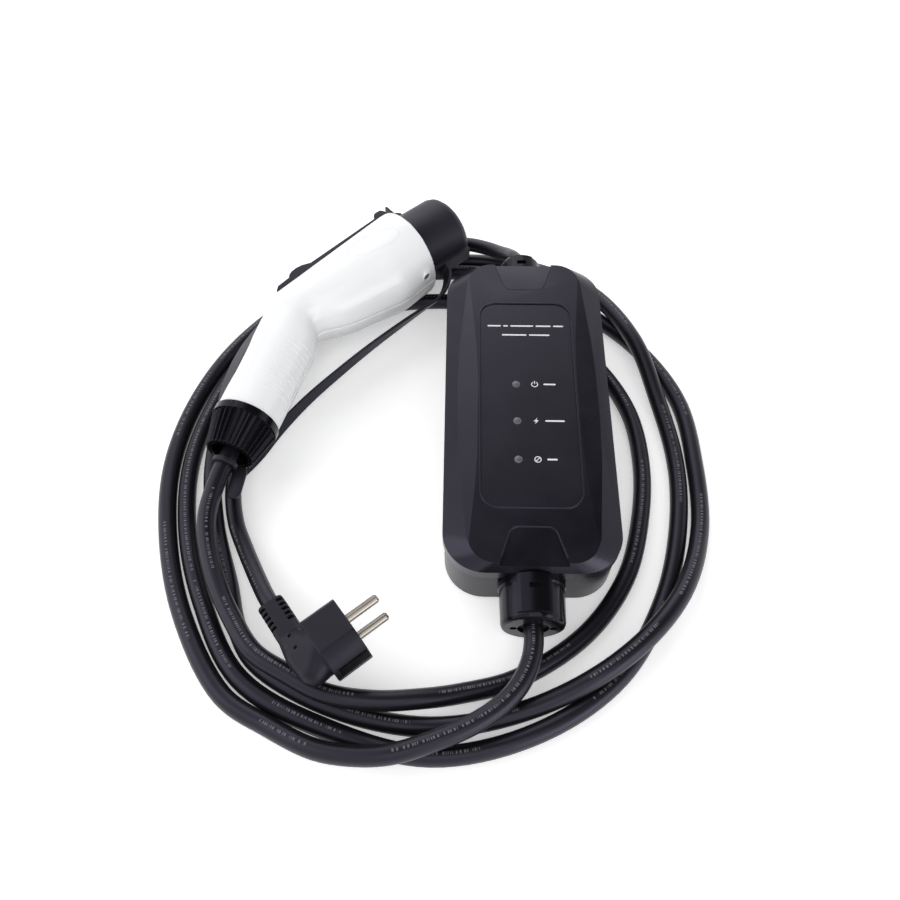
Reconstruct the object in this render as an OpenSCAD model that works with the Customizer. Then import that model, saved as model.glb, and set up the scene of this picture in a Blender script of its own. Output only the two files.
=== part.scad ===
// Portable charger for electric cars: a control box, a coiled vehicle cable
// with its hand-held connector, and a short mains lead with an angled plug.
// Origin: middle of the footprint, on the table. Units: millimetres, +Z up.

/* [Control box] */
// Length of the box along its cords
box_l = 220; // [208:1:235]
// Width of the box
box_w = 100; // [94:1:110]
// Height of the closed box
box_h = 47; // [45:0.5:50]
// Corner radius of the box seen from above
box_corner_r = 24; // [20:1:27]
// Height of the seam between base and cover
seam_h = 33; // [32:0.5:36]
// Wall of base and cover
wall = 2.5; // [2:0.1:3]
// How far the cover stands out over the base
lip_over = 1; // [0.6:0.1:1.5]
// Width of the flat top at the ends of the cover
deck_w = 72; // [68:1:80]
// Length of the flat top
deck_l = 214; // [200:1:216]
// Drop from the flat top to the cover's edge
deck_drop = 7; // [5:0.5:8]
// Depth of the long hollow facets beside the panel
facet_depth = 1.6; // [1:0.1:2]
// Slope of the long facets in degrees
facet_angle = 14.5; // [10:0.5:18]
// Height of the gland axis over the underside
gland_z = 23; // [22:0.5:24]

/* [Panel] */
// Length of the recessed panel
panel_l = 147; // [130:1:155]
// Width of the recessed panel
panel_w = 57; // [52:1:60]
// Corner radius of the panel
panel_r = 10; // [6:1:14]
// Depth of the panel's recess
panel_depth = 1.2; // [0.9:0.1:1.5]
// Thickness of the printed overlay
overlay_t = 0.6; // [0.4:0.1:0.8]
// Diameter of a signal lamp
lamp_d = 5; // [4:0.5:6]
// Distance between lamps
lamp_pitch = 26.4; // [22:0.2:28]
// Sideways place of the lamps on the panel
lamp_x = -7; // [-12:1:-4]
// Lengthwise place of the middle lamp
lamp_y = -16; // [-20:1:-10]

/* [Glands] */
// Diameter of a gland collar at the wall
collar_d = 38; // [35:1:40]
// Diameter of a gland collar at its mouth
collar_tip_d = 36; // [33:1:38]
// Length of a gland collar
collar_l = 25; // [22:1:30]
// Diameter of the smaller collar at the mains end
mains_collar_d = 30; // [28:1:34]
// Length of the collar at the mains end
mains_collar_l = 17; // [15:1:20]
// Diameter of the rubber grommet in the wall
grommet_d = 17; // [15.5:0.5:18]

/* [Cords] */
// Diameter of the vehicle cable
ev_d = 11; // [10:0.2:12]
// Diameter of the mains lead
lead_d = 10; // [8:0.2:11]

/* [Handle] */
// Diameter of the head at its front rim
head_d = 62; // [58:1:66]
// Length of the head from the bend to the rim
head_l = 96; // [92:1:104]
// Diameter at the bend
bend_d = 45; // [42:1:48]
// Diameter of the handle at its rear end
handle_d = 40; // [38:1:43]
// Length of the handle from the bend to its rear end
handle_l = 85; // [80:1:95]
// Angle between head and handle in degrees
bend_angle = 32; // [26:1:36]
// Wall of the handle's shells
shell_wall = 2.6; // [2:0.1:3]
// Diameter of the plug-in nose
nose_d = 43.8; // [42:0.1:46]
// Length of the nose in front of the rim
nose_l = 35; // [31:1:38]
// Wall of the dust cap
cap_wall = 3; // [2:0.1:4]
// Width of the latch lever
lever_w = 14; // [11:0.5:15]
// Diameter of the lever's pivot pin
lever_pin_d = 3; // [2.5:0.1:4]
// Length of the ribbed boot nut
boot_l = 26; // [23:1:32]
// Diameter of the boot nut at its mouth
boot_tip_d = 31; // [28:1:33]
// Ribs round the boot nut
boot_ribs = 32; // [24:1:36]
// Width of the cap's strap
strap_w = 8; // [6:0.5:9]
// Thickness of the cap's strap
strap_t = 2; // [1.5:0.1:2.5]

/* [Mains plug] */
// Diameter of a mains pin
pin_d = 4.8; // [4.6:0.1:5]
// Free length of a mains pin
pin_l = 19; // [18:0.5:20]
// Distance between the mains pins
pin_pitch = 19; // [18.5:0.5:20]
// Diameter of the plug's round head
plug_d = 37; // [35:0.5:39]
// Depth of the plug's head behind its face
plug_head_l = 21; // [18:0.5:24]
// Thickness of the plug's grip along its pins
grip_t = 17; // [15:0.5:19]

/* [Hidden] */

$fn = 48;
// Small overshoot of cutting bodies
over = 0.5;
// Clearance of pieces that slip together
slip = 0.2;
// Clearance of a pin that turns in its bore, on the radius
run = 0.03;

// Where the three assemblies lie: a place on the table and turns about X, Y and Z
box_tilt = 5;
box_turn = [box_tilt, 0, -0.8];
foot_chamfer = 2;
box_at = [72, -23, (box_l / 2 - lip_over - foot_chamfer) * sin(box_tilt)];
gun_turn = [5, -1.5, 41.5];
gun_at = [-77, 55, 39.2];
plug_turn = [-11, -8, 36];
plug_at = [-26, -165, 33.8];

function turn_x(p, a) = [p.x, p.y * cos(a) - p.z * sin(a), p.y * sin(a) + p.z * cos(a)];
function turn_y(p, a) = [p.x * cos(a) + p.z * sin(a), p.y, p.z * cos(a) - p.x * sin(a)];
function turn_z(p, a) = [p.x * cos(a) - p.y * sin(a), p.x * sin(a) + p.y * cos(a), p.z];
function placed(p, at, turn) = at + turn_z(turn_y(turn_x(p, turn.x), turn.y), turn.z);
function on_box(p) = placed(p, box_at, box_turn);
function on_gun(p) = placed(p, gun_at, gun_turn);
function on_handle(p) = on_gun(turn_z(p, 180 + bend_angle));
function on_plug(p) = placed(p, plug_at, plug_turn);

module place_box() translate(box_at) rotate(box_turn) children();
module place_gun() translate(gun_at) rotate(gun_turn) children();
module place_handle() place_gun() rotate([0, 0, 180 + bend_angle]) children();
module place_plug() translate(plug_at) rotate(plug_turn) children();

// Colours as the photograph shows them
shell_black = "#2b2a2f";
rubber_black = "#1c1c1e";
shell_white = "#eef0f2";
nickel = "#c9c6c0";
brass = "#c9a24a";
steel = "#9a9da1";
board_green = "#1f5a3c";

// Shapes that repeat

// Rectangle with round corners, middle at the origin
module round_rect(w, l, r) {
    square([w - 2 * r, l], center = true);
    square([w, l - 2 * r], center = true);
    for (x = [-1, 1], y = [-1, 1])
        translate([x * (w / 2 - r), y * (l / 2 - r)])
            circle(r);
}

module slab(w, l, r, h) linear_extrude(h) round_rect(w, l, r);

// Cylinder along +X
module rod_x(d, l) rotate([0, 90, 0]) cylinder(d = d, h = l);

// Cylinder along +Y
module rod_y(d, l) rotate([-90, 0, 0]) cylinder(d = d, h = l);

function unit(v) = v / norm(v);
function heading(p, i) = unit(p[min(i + 1, len(p) - 1)] - p[max(i - 1, 0)]);
function side_at(v, t) = unit(v - t * (v * t));
function sides(p, v, i = 0) =
    i == len(p) ? [] :
    let (w = side_at(v, heading(p, i)))
    concat([w], sides(p, w, i + 1));

// Sweep of a closed section, a list of [across, up] points, along a route
module sweep(route, section, up = [0.1, 0.2, 1], spin = 0) {
    n = len(section);
    m = len(route);
    rise = sides(route, up);
    points = [
        for (i = [0 : m - 1])
            let (across = cross(heading(route, i), rise[i]))
            for (s = section)
                let (q = turn_z([s[0], s[1], 0], spin * i / (m - 1)))
                route[i] + across * q.x + rise[i] * q.y
    ];
    skin = [
        for (i = [0 : m - 2], k = [0 : n - 1])
            let (j = (k + 1) % n)
            each [
                [i * n + k, i * n + j, (i + 1) * n + j],
                [i * n + k, (i + 1) * n + j, (i + 1) * n + k]
            ]
    ];
    ends = [
        [for (k = [n - 1 : -1 : 0]) k],
        [for (k = [0 : n - 1]) (m - 1) * n + k]
    ];
    polyhedron(points, concat(skin, ends), convexity = 8);
}

function ring_section(d, n) = [for (k = [0 : n - 1]) d / 2 * [cos(k * 360 / n), sin(k * 360 / n)]];

// Control box, in its own frame: underside middle at the origin, +Y to the mains lead

base_w = box_w - 2 * lip_over;
base_l = box_l - 2 * lip_over;
base_r = box_corner_r - lip_over;
screw_d = 4;
screw_head_d = 7.4;
screw_head_h = 3;
boss_d = 9;
boss_in = 14;
boss_x = box_w / 2 - boss_in;
boss_y = box_l / 2 - boss_in;
seal_w = 1.2;
seal_h = 0.9;
end_y = box_l / 2;
inner_end = base_l / 2 - wall;
edge_z = box_h - deck_drop;
deck_r = box_corner_r - (box_l - deck_l) / 2 - 6;
roof = wall + panel_depth;

module at_bosses() for (x = [-1, 1], y = [-1, 1]) translate([x * boss_x, y * boss_y, 0]) children();

board_w = 70;
board_l = 150;
board_t = 1.6;
board_z = 10;
board_top = board_z + board_t;
post_d = 7;
post_x = board_w / 2 - 5;
post_y = board_l / 2 - 5;
board_screw_d = 3;

module at_posts() for (x = [-1, 1], y = [-1, 1]) translate([x * post_x, y * post_y, 0]) children();

module box_base() color(shell_black) place_box() difference() {
    union() {
        difference() {
            hull() {
                slab(base_w - 2 * foot_chamfer, base_l - 2 * foot_chamfer, base_r - foot_chamfer, 1);
                translate([0, 0, foot_chamfer]) slab(base_w, base_l, base_r, seam_h - foot_chamfer);
            }
            translate([0, 0, wall])
                slab(base_w - 2 * wall, base_l - 2 * wall, base_r - wall, seam_h);
        }
        at_bosses() cylinder(d = boss_d, h = seam_h);
        at_posts() cylinder(d = post_d, h = board_z);
    }
    at_bosses() {
        translate([0, 0, -over]) cylinder(d = screw_d + 2 * slip, h = seam_h + 2 * over);
        translate([0, 0, -over]) cylinder(d = screw_head_d + 2 * slip, h = screw_head_h + slip + over);
    }
    at_posts() translate([0, 0, board_z - 6]) cylinder(d = board_screw_d + 2 * slip, h = 6 + over);
    for (s = [-1, 1])
        translate([0, s * (end_y + over), gland_z])
            rotate([s * 90, 0, 0])
                cylinder(d = grommet_d + 2 * slip, h = lip_over + wall + 2 * over);
    seal_groove(slip);
}

// Room for the seal in the top of the base's wall
module seal_groove(room) {
    mid = wall / 2;
    half = seal_w / 2 + room / 2;
    translate([0, 0, seam_h - seal_h])
        linear_extrude(seal_h + over)
            difference() {
                round_rect(base_w - 2 * (mid - half), base_l - 2 * (mid - half), base_r - mid + half);
                round_rect(base_w - 2 * (mid + half), base_l - 2 * (mid + half), base_r - mid - half);
            }
}

module cover_seal() color(rubber_black) place_box() intersection() {
    seal_groove(0);
    translate([-box_w, -box_l, 0]) cube([2 * box_w, 2 * box_l, seam_h]);
}

// Outer form of the cover: upright edge, sloping shoulder and flat top
module cover_form(inset) hull() {
    translate([0, 0, seam_h])
        slab(box_w - 2 * inset, box_l - 2 * inset, box_corner_r - inset, edge_z - seam_h - inset / 2);
    translate([0, 0, box_h - 1 - inset])
        slab(deck_w - inset, deck_l - 2 * inset, deck_r - inset, 1);
}

// One long hollow facet beside the panel, turned from a very large wheel
facet_reach = box_l / 2 - 10;
facet_wheel_r = facet_reach * facet_reach / (2 * facet_depth);

module side_facet() {
    depth = facet_depth * cos(facet_angle);
    translate([deck_w / 2, 0, box_h])
        rotate([0, facet_angle, 0])
            translate([-box_w / 4, 0, facet_wheel_r - depth])
                rotate([0, 90, 0])
                    cylinder(r = facet_wheel_r, h = box_w / 2, $fn = 480);
}

// Sunk ramp over each gland: narrow at the top, wide at the edge
ramp_top_w = 23;
ramp_foot_w = 42;
ramp_l = 24;
ramp_drop = 2.6;

module end_ramp() {
    top_y = end_y - ramp_l;
    translate([0, top_y, box_h])
        rotate([-atan(ramp_drop / ramp_l), 0, 0])
            linear_extrude(2 * deck_drop)
                polygon([
                    [-ramp_top_w / 2, 0], [ramp_top_w / 2, 0],
                    [ramp_foot_w / 2, ramp_l + 4], [-ramp_foot_w / 2, ramp_l + 4]
                ]);
}

module at_lamps(i) translate([lamp_x, lamp_y + (1 - i) * lamp_pitch, 0]) children();

module box_cover() color(shell_black) place_box() difference() {
    union() {
        difference() {
            cover_form(0);
            translate([0, 0, -over]) cover_cavity();
        }
        intersection() {
            at_bosses() translate([0, 0, seam_h]) cylinder(d = boss_d, h = box_h - seam_h);
            cover_form(wall / 2);
        }
    }
    for (s = [0, 1]) mirror([s, 0, 0]) side_facet();
    for (s = [0, 1]) mirror([0, s, 0]) end_ramp();
    translate([0, 0, box_h - panel_depth]) slab(panel_w, panel_l, panel_r, panel_depth + over);
    for (i = [0 : 2]) at_lamps(i) translate([0, 0, seam_h]) cylinder(d = lamp_d + 2 * slip, h = box_h);
    at_bosses() translate([0, 0, seam_h - over]) cylinder(d = screw_d + 2 * slip, h = 6 + over);
}

// Hollow of the cover, open at the seam
module cover_cavity() intersection() {
    union() {
        cover_form(wall);
        translate([0, 0, seam_h - 1])
            slab(box_w - 2 * wall, box_l - 2 * wall, box_corner_r - wall, 3);
    }
    translate([-box_w, -box_l, 0]) cube([2 * box_w, 2 * box_l, box_h - roof - facet_depth]);
}

module cover_screws() color(steel) place_box() at_bosses() {
    translate([0, 0, slip]) cylinder(d = screw_head_d, h = screw_head_h);
    translate([0, 0, screw_head_h]) cylinder(d = screw_d, h = seam_h + 5 - screw_head_h);
}

module panel_overlay() color(shell_black) place_box() difference() {
    translate([0, 0, box_h - panel_depth])
        slab(panel_w - 2 * slip, panel_l - 2 * slip, panel_r - slip, overlay_t);
    for (i = [0 : 2]) at_lamps(i) translate([0, 0, seam_h]) cylinder(d = lamp_d + 2 * slip, h = box_h);
}

// Light guide from the board to the panel, with a low dome on top
lamp_top = box_h - panel_depth + overlay_t;
module lamp(i) place_box() at_lamps(i) {
    translate([0, 0, board_top]) cylinder(d = lamp_d, h = lamp_top - board_top);
    translate([0, 0, lamp_top])
        rotate_extrude()
            intersection() {
                translate([0, 0.5 - lamp_d]) circle(lamp_d);
                square([lamp_d / 2, 1]);
            }
}

module power_lamp() color("#8b8d86") lamp(0);
module charging_lamp() color("#8b8d86") lamp(1);
module fault_lamp() color("#96847e") lamp(2);

module control_board() color(board_green) place_box() difference() {
    translate([0, 0, board_z]) slab(board_w, board_l, 3, board_t);
    at_posts() cylinder(d = board_screw_d + 2 * slip, h = box_h);
}

module board_screws() color(steel) place_box() at_posts() {
    translate([0, 0, board_top]) cylinder(d = board_screw_d + 2.4, h = 2);
    translate([0, 0, board_z - 5]) cylinder(d = board_screw_d, h = 5 + board_t);
}

// Parts soldered to the board: a case with a middle, width, length and height
module on_board(x, y) place_box() translate([x, y, board_top]) children();

relay_w = 16;
relay_l = 30;
relay_h = 21;
relay_r = 1.5;
parts_x = board_w / 2 - 17;
module relay(x) on_board(x, board_l * 0.28) slab(relay_w, relay_l, relay_r, relay_h);
module line_relay() color("#22384e") relay(parts_x);
module neutral_relay() color("#22384e") relay(parts_x - relay_w - 4);

coil_d = 26;
coil_hole_d = 13;
coil_t = 10;
module leakage_coil() color("#6d4a2b") on_board(parts_x, 4) rotate_extrude()
    translate([(coil_d + coil_hole_d) / 4, coil_t / 2])
        round_rect((coil_d - coil_hole_d) / 2, coil_t, 2.5);

supply_w = 26;
supply_l = 30;
supply_h = 14;
module power_supply() color("#d8b13a") on_board(parts_x, -board_l / 4) {
    slab(supply_w, supply_l, 2, supply_h);
    translate([0, 0, supply_h]) slab(supply_w - 8, supply_l - 8, 2, supply_h / 3);
}

// Screw terminal with four ways
terminal_w = 44;
terminal_l = 12;
terminal_h = 13;
module terminal(y) on_board(0, y) difference() {
    slab(terminal_w, terminal_l, 1, terminal_h);
    for (i = [-1.5 : 1.5])
        translate([i * 10, 0, terminal_h - 4]) cylinder(d = 5.5, h = 4 + over);
}
module mains_terminal() color("#3b6a3a") terminal(board_l / 2 - 12);
module vehicle_terminal() color("#3b6a3a") terminal(12 - board_l / 2);

// Glands: a rubber grommet in the end wall and a split collar round it

collar_bore = grommet_d + 2 * slip;
bridge_w = 19;

// Gland frame: wall face at the origin, +Y out of the box
module at_gland(s) place_box() translate([0, s * (end_y - lip_over), gland_z]) rotate([0, 0, s < 0 ? 180 : 0]) children();

module grommet(cord_d, l) rotate([-90, 0, 0]) difference() {
    union() {
        translate([0, 0, -wall]) cylinder(d = grommet_d, h = wall + lip_over + l - 2);
        translate([0, 0, -wall - 3]) cylinder(d = grommet_d + 6, h = 3);
    }
    translate([0, 0, -wall - 3 - over]) cylinder(d = cord_d + slip, h = wall + 3 + l + 4);
}

// Half of a collar: tapered ring with a softened mouth
module collar_half(start, d, l) {
    tip = lip_over + l;
    tip_r = (d - collar_d + collar_tip_d) / 2;
    rotate([-90, 0, 0]) rotate([0, 0, 180])
        rotate_extrude(angle = 180)
            polygon([
                [collar_bore / 2, start], [d / 2, start], [d / 2, lip_over + 3],
                [d / 2 - 0.6, lip_over + 4], [tip_r, tip - 2.5],
                [tip_r - 0.8, tip - 0.7], [tip_r - 2.5, tip],
                [collar_bore / 2, tip]
            ]);
}

// Small holes beside the cord in the collar's mouth, shared by both halves
mouth_hole_d = 4;
module mouth_holes(l) for (x = [-1, 1])
    translate([x * (collar_bore + mouth_hole_d + slip) / 2, lip_over + l - 3, 0]) rod_y(mouth_hole_d, 4);

// Catch bridge on top of the upper half, with its slot
slot_w = 6;
slot_l = 3;
module collar_upper(d, l) difference() {
    bridge = bridge_w * d / collar_d;
    union() {
        collar_half(lip_over, d, l);
        intersection() {
            translate([-bridge / 2, lip_over, collar_bore / 2]) cube([bridge, l - 3, d]);
            translate([0, lip_over, 0]) rod_y(d + 1.6, l - 3);
        }
    }
    translate([-slot_w / 2, lip_over + 6, d / 2 - 3]) cube([slot_w, slot_l, 5]);
    mouth_holes(l);
}

module collar_lower(d, l) rotate([0, 180, 0]) difference() {
    collar_half(0, d, l);
    mouth_holes(l);
}

module vehicle_grommet() color(rubber_black) at_gland(-1) grommet(ev_d, collar_l);
module vehicle_collar_upper() color(shell_black) at_gland(-1) collar_upper(collar_d, collar_l);
module vehicle_collar_lower() color(shell_black) at_gland(-1) collar_lower(collar_d, collar_l);
module mains_grommet() color(rubber_black) at_gland(1) grommet(lead_d, mains_collar_l);
module mains_collar_upper() color(shell_black) at_gland(1) collar_upper(mains_collar_d, mains_collar_l);
module mains_collar_lower() color(shell_black) at_gland(1) collar_lower(mains_collar_d, mains_collar_l);

// Hand-held connector, in its own frame: bend at the origin, +X to the nose,
// +Y to the latch, the split between the shells at Z = 0

head_r = head_d / 2;
bend_r = bend_d / 2;
handle_r = handle_d / 2;
belly_r = head_r - 1.6;
belly_at = [head_l * 0.72, -4.5, 0];
rim_band = 5;

// Outer form of head and handle, grown inwards by a wall
module gun_form(inset) {
    hull() {
        translate([head_l - rim_band, 0, 0]) rod_x(head_d - 2 * inset, rim_band, $fn = 64);
        translate(belly_at) sphere(belly_r - inset, $fn = 40);
        sphere(bend_r - inset, $fn = 32);
    }
    rotate([0, 0, 180 + bend_angle]) hull() {
        sphere(bend_r - inset - 1, $fn = 32);
        translate([handle_l - 2, 0, 0]) rod_x(handle_d - 2 * inset, 2, $fn = 48);
    }
}

// Hollow inside the shells, open at the rim and at the handle's end
module gun_hollow() {
    gun_form(shell_wall);
    translate([nose_flange_x - slip, 0, 0]) rod_x(head_d - 2 * shell_wall, head_l, $fn = 64);
    rotate([0, 0, 180 + bend_angle])
        translate([handle_l - 3, 0, 0]) rod_x(handle_d - 2 * shell_wall, 4, $fn = 48);
}

// Latch lever and its pivot
lever_rise = (head_r - bend_r) / head_l;
lever_proud = 5;
lever_t = lever_proud + 4;
lever_back = 1;
lever_slope = atan(lever_rise);
pivot_x = head_l * 0.58;
pivot_y = bend_r + lever_rise * pivot_x - 8;
channel_w = lever_w + 4 * slip;
hook_reach = 17;
lug_r = 4.5;
cap_od = nose_d + 2 * slip + 2 * cap_wall;
hook_gap = 1;
pin_reach = 12;

function lever_top(x) = bend_r + lever_rise * x + lever_proud;

// Slot for the lever along the top of the head
module lever_channel() {
    translate([lever_back - 1.5, pivot_y - 1, -channel_w / 2])
        cube([head_l - lever_back + 4, head_d, channel_w]);
    translate([pivot_x, pivot_y, -channel_w / 2]) cylinder(r = lug_r + 4 * slip, h = channel_w);
}

// Round post across both shells for a screw or a pin
module post(p, d, reach) translate([p.x, p.y, -reach]) cylinder(d = d, h = 2 * reach);

function handle_point(x, y) = turn_z([x, y, 0], 180 + bend_angle);
shell_screw_at = [
    [head_l * 0.36, -head_r * 0.55, 0],
    handle_point(handle_l * 0.36, 0),
    handle_point(handle_l * 0.78, 0)
];
shell_screw_d = 3;
spring_x = 20;
spring_d = 6;
spring_wire = 0.8;
spring_seat_y = 4;
switch_x = 30;
switch_size = [13, 6.5, 6];
nose_screw_x = head_l - 9;
nose_screw_z = 8;
nose_ring_d = 9;
nose_flange_x = head_l - 13;
nose_flange_t = 8;
nose_seat_y = 1.4 - head_r;

module gun_shell() difference() {
    union() {
        gun_form(0);
        children();
    }
    difference() {
        gun_hollow();
        gun_posts();
    }
    lever_channel();
    post([pivot_x, pivot_y], lever_pin_d + 2 * run, pin_reach + slip);
    for (p = shell_screw_at) post(p, shell_screw_d + 2 * slip, 9);
    for (p = shell_screw_at) translate([p.x, p.y, -head_d]) cylinder(d = 6.4, h = head_d - 8);
    translate([nose_screw_x, -head_d, nose_screw_z]) rod_y(3.4, head_d);
    translate([nose_screw_x, nose_seat_y - head_d, nose_screw_z]) rod_y(5.4, head_d);
}

// Posts and seats moulded inside the shells
module gun_posts() {
    post([pivot_x, pivot_y], 9, head_r);
    for (p = shell_screw_at) post(p, 8, head_r);
    translate([spring_x - 5, -head_r, -5]) cube([10, head_r + spring_seat_y, 10]);
    translate([switch_x, -head_r, -head_r]) cube([switch_size.x, head_r + 5, head_r - switch_size.z / 2]);
}

// Raised ring round the screw hole under the head
module nose_screw_ring()
    translate([nose_screw_x, -head_r, nose_screw_z]) rod_y(nose_ring_d, 4);

module half_space(s) translate([-head_l * 3, -head_l * 2, s > 0 ? 0 : -head_l])
    cube([head_l * 6, head_l * 4, head_l]);

module grip_shell_upper() color(shell_white) place_gun() intersection() {
    gun_shell() nose_screw_ring();
    half_space(1);
}

module grip_shell_lower() color(shell_white) place_gun() intersection() {
    gun_shell();
    half_space(-1);
}

module shell_screws() color(steel) place_gun() for (p = shell_screw_at) {
    translate([p.x, p.y, -8 - 2.4]) cylinder(d = 5.8, h = 2.4);
    translate([p.x, p.y, -8]) cylinder(d = shell_screw_d, h = 16.5);
}

// Soft pad let on to the back of the handle, a slice of a large wheel
pad_proud = 4.6;
pad_half_l = 34;
pad_w = 26;
pad_mid = handle_l * 0.56;
pad_wheel_r = pad_half_l * pad_half_l / (2 * pad_proud);

module palm_pad() color(rubber_black) place_handle() difference() {
    intersection() {
        translate([pad_mid, pad_wheel_r - handle_r - pad_proud, 0])
            rotate_extrude($fn = 360)
                polygon([
                    [0, -pad_w / 2], [pad_wheel_r - 8, -pad_w / 2], [pad_wheel_r, -pad_w / 2 + 7],
                    [pad_wheel_r, pad_w / 2 - 7], [pad_wheel_r - 8, pad_w / 2], [0, pad_w / 2]
                ]);
        translate([pad_mid - pad_half_l, -handle_d, -pad_w])
            cube([2 * pad_half_l, handle_d - 4, 2 * pad_w]);
    }
    rotate([0, 0, -180 - bend_angle]) gun_form(0);
}

// Nose with its five contact holes, looking at the mouth: mains on top, earth below
contact_line_at = [7.9, 6.8];
contact_neutral_at = [-7.9, 6.8];
contact_earth_at = [0, -10.6];
contact_pilot_at = [10.9, -5.6];
contact_proximity_at = [-10.9, -5.6];
power_hole_d = 8.4;
signal_hole_d = 5;
contact_back = 6;
nose_floor = 6;

module at_contact(p) translate([nose_flange_x, p[1], p[0]]) children();

module connector_nose() color(rubber_black) place_gun() difference() {
    union() {
        translate([nose_flange_x, 0, 0]) rod_x(head_d - 2 * shell_wall - 2 * slip, nose_flange_t, $fn = 64);
        translate([nose_flange_x, 0, 0]) rod_x(nose_d, head_l - nose_flange_x + nose_l, $fn = 64);
    }
    for (p = [contact_line_at, contact_neutral_at, contact_earth_at])
        at_contact(p) translate([nose_floor, 0, 0]) rod_x(power_hole_d, head_l);
    for (p = [contact_pilot_at, contact_proximity_at])
        at_contact(p) translate([nose_floor, 0, 0]) rod_x(signal_hole_d, head_l);
    translate([nose_flange_x - over, pivot_y - 1, -channel_w / 2])
        cube([nose_flange_t + 2 * over, head_d, channel_w]);
    translate([nose_screw_x, -head_d, nose_screw_z]) rod_y(3.4, head_d - nose_d / 2 + 6);
}

module nose_screw() color(steel) place_gun() translate([nose_screw_x, 0, nose_screw_z]) {
    translate([0, nose_seat_y, 0]) rod_y(3, -nose_seat_y - nose_d / 2 + 4);
    translate([0, nose_seat_y - 1.6, 0]) rod_y(5, 1.6);
}

// Socket contact: a silvered tube on the floor of its hole
module contact(p, d, bore) place_gun() at_contact(p) translate([nose_floor, 0, 0]) difference() {
    rod_x(d, nose_l - 2);
    translate([8, 0, 0]) rod_x(bore, nose_l);
}
module contact_line() color(nickel) contact(contact_line_at, power_hole_d - 2 * slip, 3.7);
module contact_neutral() color(nickel) contact(contact_neutral_at, power_hole_d - 2 * slip, 3.7);
module contact_earth() color(nickel) contact(contact_earth_at, power_hole_d - 2 * slip, 2.9);
module contact_pilot() color(nickel) contact(contact_pilot_at, signal_hole_d - 2 * slip, 1.6);
module contact_proximity() color(nickel) contact(contact_proximity_at, signal_hole_d - 2 * slip, 1.6);

// Lever: a bar along the head, a thumb pad at the back and a hook over the nose
thumb_rise = 4.2;
thumb_x = 14;
thumb_l = 20;
knob_rise = 4;
module latch_lever() color(shell_black) place_gun() difference() {
    translate([0, 0, -lever_w / 2]) union() {
        linear_extrude(lever_w)
            polygon([
                [lever_back, lever_top(lever_back) - lever_t],
                [lever_back, lever_top(lever_back) - 3],
                [lever_back + 3, lever_top(lever_back + 3) - 0.6],
                [thumb_x, lever_top(thumb_x)],
                [thumb_x + thumb_l * 0.1, lever_top(thumb_x) + thumb_rise * 0.5],
                [thumb_x + thumb_l * 0.25, lever_top(thumb_x) + thumb_rise * 0.85],
                [thumb_x + thumb_l * 0.45, lever_top(thumb_x) + thumb_rise],
                [thumb_x + thumb_l * 0.7, lever_top(thumb_x) + thumb_rise * 0.9],
                [thumb_x + thumb_l * 0.88, lever_top(thumb_x) + thumb_rise * 0.6],
                [thumb_x + thumb_l, lever_top(thumb_x + thumb_l)],
                [head_l - 6, lever_top(head_l - 6)],
                [head_l - 1, lever_top(head_l)],
                [head_l, lever_top(head_l) + knob_rise * 0.6],
                [head_l + 2, lever_top(head_l) + knob_rise],
                [head_l + 7, lever_top(head_l) + knob_rise],
                [head_l + 9, lever_top(head_l) + knob_rise * 0.4],
                [head_l + 10, cap_od / 2 + hook_gap + 6],
                [head_l + 12, cap_od / 2 + hook_gap + 5.5],
                [head_l + 12, lever_top(head_l) + knob_rise],
                [head_l + 13.4, lever_top(head_l) + knob_rise],
                [head_l + 13.6, cap_od / 2 + hook_gap + 5],
                [head_l + hook_reach - 2, cap_od / 2 + hook_gap + 4.5],
                [head_l + hook_reach, cap_od / 2 + hook_gap + 2.5],
                [head_l + hook_reach, cap_od / 2 + hook_gap],
                [head_l + hook_reach - 5, cap_od / 2 + hook_gap],
                [head_l + hook_reach - 7, cap_od / 2 + hook_gap + 1.5],
                [head_l - 6, lever_top(head_l - 6) - lever_t]
            ]);
        translate([pivot_x, pivot_y, 0]) cylinder(r = lug_r, h = lever_w);
        translate([pivot_x - lug_r, pivot_y, 0]) cube([2 * lug_r, 6, lever_w]);
    }
    post([pivot_x, pivot_y], lever_pin_d + 2 * run, lever_w);
}

module latch_pin() color(steel) place_gun() post([pivot_x, pivot_y], lever_pin_d, pin_reach);

// Coil spring between the seat in the shells and the underside of the lever
spring_turns = 5;
spring_top = lever_top(spring_x) - lever_t - spring_wire;
module latch_spring() color(steel) place_gun() sweep(
    [
        for (i = [0 : spring_turns * 12])
            let (a = i * 30, low = spring_seat_y + spring_wire)
            [
                spring_x + spring_d / 2 * cos(a),
                low + (spring_top - low) * i / (spring_turns * 12),
                spring_d / 2 * sin(a)
            ]
    ],
    ring_section(spring_wire, 6),
    [0, 1, 0]
);

module latch_switch() color("#30343a") place_gun()
    translate([switch_x, 5 - switch_size.y, -switch_size.z / 2]) cube(switch_size);

// Ribbed nut that holds the cable at the end of the handle
boot_collar = 5;
rib_depth = 1.7;
boot_d = handle_d + 2;
function rib_outline(d, n, depth) = [
    for (i = [0 : 2 * n - 1])
        let (r = i % 2 == 0 ? d / 2 : d / 2 - depth)
        r * [cos(i * 180 / n), sin(i * 180 / n)]
];

module boot_nut() color(rubber_black) place_handle() translate([handle_l, 0, 0]) rotate([0, 90, 0]) difference() {
    union() {
        cylinder(d = boot_d, h = boot_collar);
        translate([0, 0, boot_collar])
            linear_extrude(boot_l - boot_collar, scale = boot_tip_d / (boot_d - 1))
                polygon(rib_outline(boot_d - 1, boot_ribs, rib_depth));
    }
    translate([0, 0, -over]) cylinder(d1 = handle_d - 4, d2 = boot_tip_d - 8, h = boot_l + 2 * over);
}

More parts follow.
